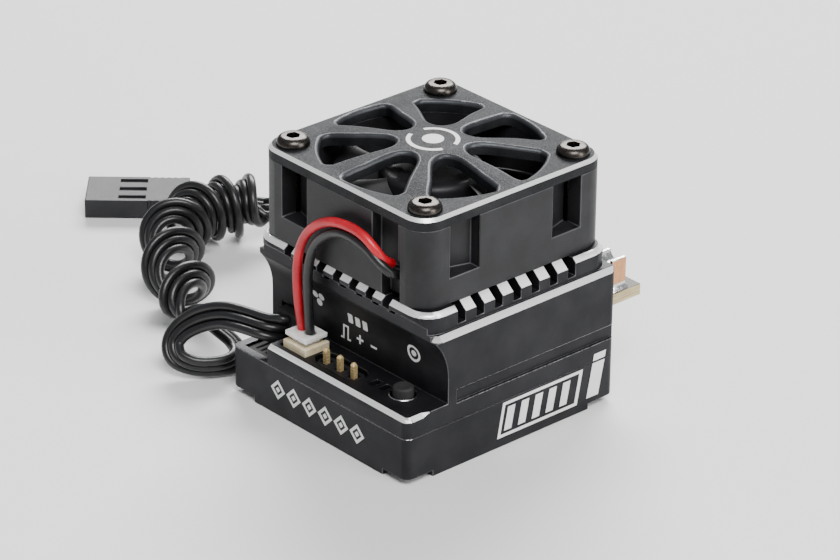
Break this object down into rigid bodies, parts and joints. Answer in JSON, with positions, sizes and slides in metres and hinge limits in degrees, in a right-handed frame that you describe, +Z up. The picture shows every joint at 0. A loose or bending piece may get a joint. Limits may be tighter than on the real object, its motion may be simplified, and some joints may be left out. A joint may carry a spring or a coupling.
{
  "type": "electronic speed controller",
  "caption": "Palm-size motor speed controller: finned black metal case, top cooling fan under a spoked guard, control terrace, solder posts and a wound signal lead with plug.",
  "frame": {"origin": "centre of the underside of the case with its solder posts, on the surface it stands on", "axes": "+Z up, -Y the control side with the terrace, +Y the solder post side, +X the plain label side; the signal lead leaves at the -X, -Y corner"},
  "size_m": [0.0883, 0.0452, 0.0342],
  "materials": {
    "anodised_aluminium": "black anodised, bead blasted satin, bright cut edges",
    "black_plastic": "moulded glass-filled plastic, matte",
    "black_rubber": "matte",
    "chip_epoxy": "moulded epoxy, matte",
    "dark_steel": "black oxide, satin",
    "polished_steel": "ground",
    "sintered_brass": "sintered, oily",
    "gold_plate": "gold plated, bright",
    "copper": "copper, tinned where soldered",
    "ferrite": "sintered ferrite, matte",
    "solder_mask": "solder mask, semi-gloss",
    "bare_laminate": "glass laminate, cut edge",
    "thermal_silicone": "soft silicone, matte",
    "cream_nylon": "moulded, satin",
    "white_nylon": "moulded, satin",
    "light_pipe": "clear moulded, gloss",
    "red_pvc": "soft insulation, semi-gloss",
    "black_pvc": "soft insulation, semi-gloss"
  },
  "bodies": {
    "case": {"base_tray": "anodised_aluminium", "upper_shell": "anodised_aluminium", "fan_guard": "anodised_aluminium", "fan_frame": "black_plastic", "fan_bearing": "sintered_brass", "fan_circuit_board": "solder_mask", "stator_winding": "copper", "stator_core": "dark_steel", "fan_wire_red": "red_pvc", "fan_wire_black": "black_pvc", "fan_header": "cream_nylon", "fan_plug": "white_nylon", "program_port": "black_plastic", "set_switch": "dark_steel", "control_board": "solder_mask", "power_board": "bare_laminate", "thermal_pad": "thermal_silicone", "board_link": "black_plastic", "microcontroller": "chip_epoxy", "gate_driver": "chip_epoxy", "supply_inductor": "ferrite", "supply_capacitor": "bare_laminate", "lead_grommet": "black_rubber", "signal_lead": "black_pvc", "signal_lead_coil": "black_pvc", "signal_lead_tail": "black_pvc", "signal_plug": "black_plastic", "case_screw_1": "dark_steel", "guard_screw_1": "dark_steel", "case_screw_2": "dark_steel", "guard_screw_2": "dark_steel", "case_screw_3": "dark_steel", "guard_screw_3": "dark_steel", "case_screw_4": "dark_steel", "guard_screw_4": "dark_steel", "program_pin_1": "gold_plate", "program_pin_2": "gold_plate", "program_pin_3": "gold_plate", "status_light_1": "light_pipe", "status_light_2": "light_pipe", "mosfet_1": "chip_epoxy", "mosfet_2": "chip_epoxy", "mosfet_3": "chip_epoxy", "mosfet_4": "chip_epoxy", "mosfet_5": "chip_epoxy", "mosfet_6": "chip_epoxy", "post_phase_a": "copper", "post_phase_b": "copper", "post_phase_c": "copper", "post_negative": "copper", "post_positive": "copper"},
    "rotor": {"fan_rotor": "black_plastic", "rotor_magnet": "ferrite", "fan_shaft": "polished_steel"},
    "button": {"set_button": "black_rubber"}
  },
  "joints": [
    {"name": "fan_spin", "type": "hinge", "parent": "case", "child": "rotor", "pos_m": [-0.00075, -0.0009, 0.027], "axis": [0, 0, 1], "continuous": true},
    {"name": "set_press", "type": "slide", "parent": "case", "child": "button", "axis": [0, 0, -1], "range_m": [0, 0.0003], "stiffness_N_per_m": 300}
  ]
}
